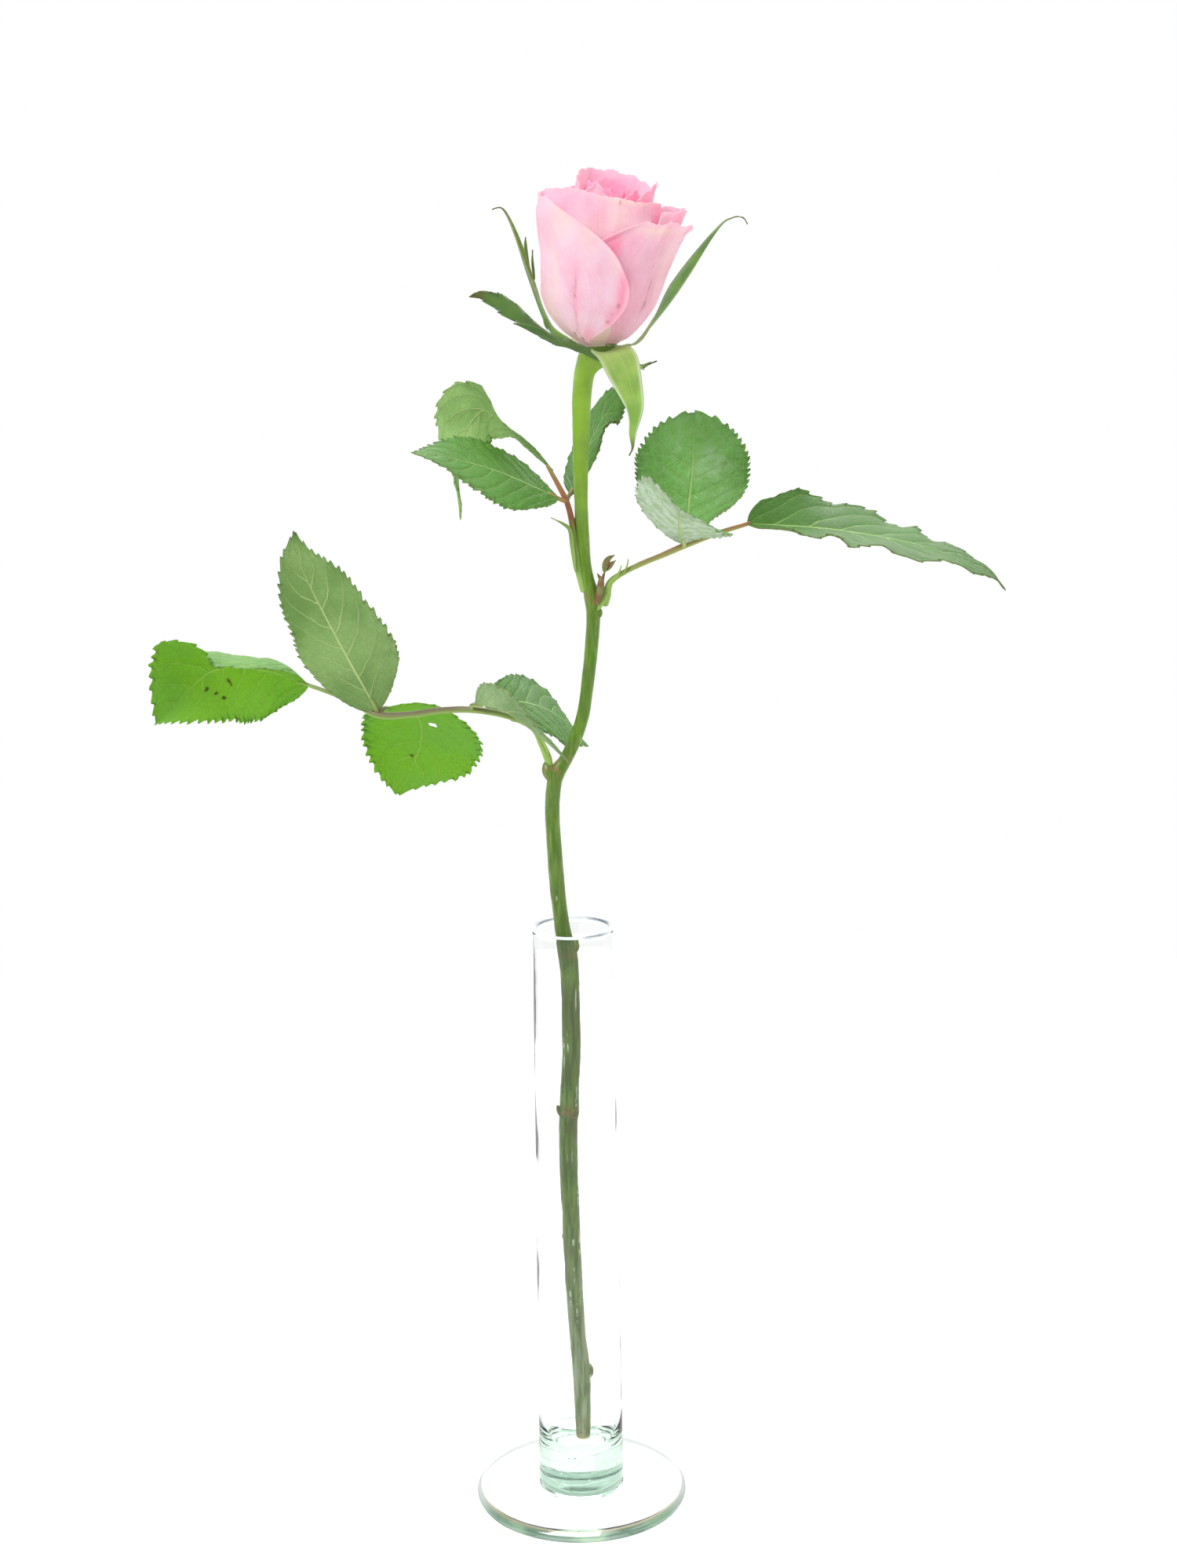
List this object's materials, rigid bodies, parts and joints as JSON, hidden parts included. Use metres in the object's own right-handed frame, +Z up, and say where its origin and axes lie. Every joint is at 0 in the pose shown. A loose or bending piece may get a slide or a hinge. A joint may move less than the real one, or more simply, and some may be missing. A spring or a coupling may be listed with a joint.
{
  "type": "rose in a bud vase",
  "caption": "Cut pink rose with compound leaves standing in a slim clear glass bud vase with a thick disc foot.",
  "frame": {"origin": "centre of the vase foot's flat underside", "axes": "+Z up along the vase, -Y the front, towards which the stem leans, +X the viewer's right seen from the front"},
  "size_m": [0.2684, 0.0991, 0.4376],
  "materials": {
    "glass": "clear, polished, faintly green where thick",
    "stem": "smooth fresh green stem, slightly waxy",
    "leaf": "satin green leaf, veined, paler below",
    "calyx": "matt green, pale felted inside",
    "petal": "soft pale pink petal, creamy edges"
  },
  "bodies": {
    "root": {"vase": "glass", "stem": "stem", "leaf_lower": "leaf", "leaf_middle": "leaf", "leaf_upper": "leaf", "calyx": "calyx", "bloom": "petal"}
  },
  "joints": []
}
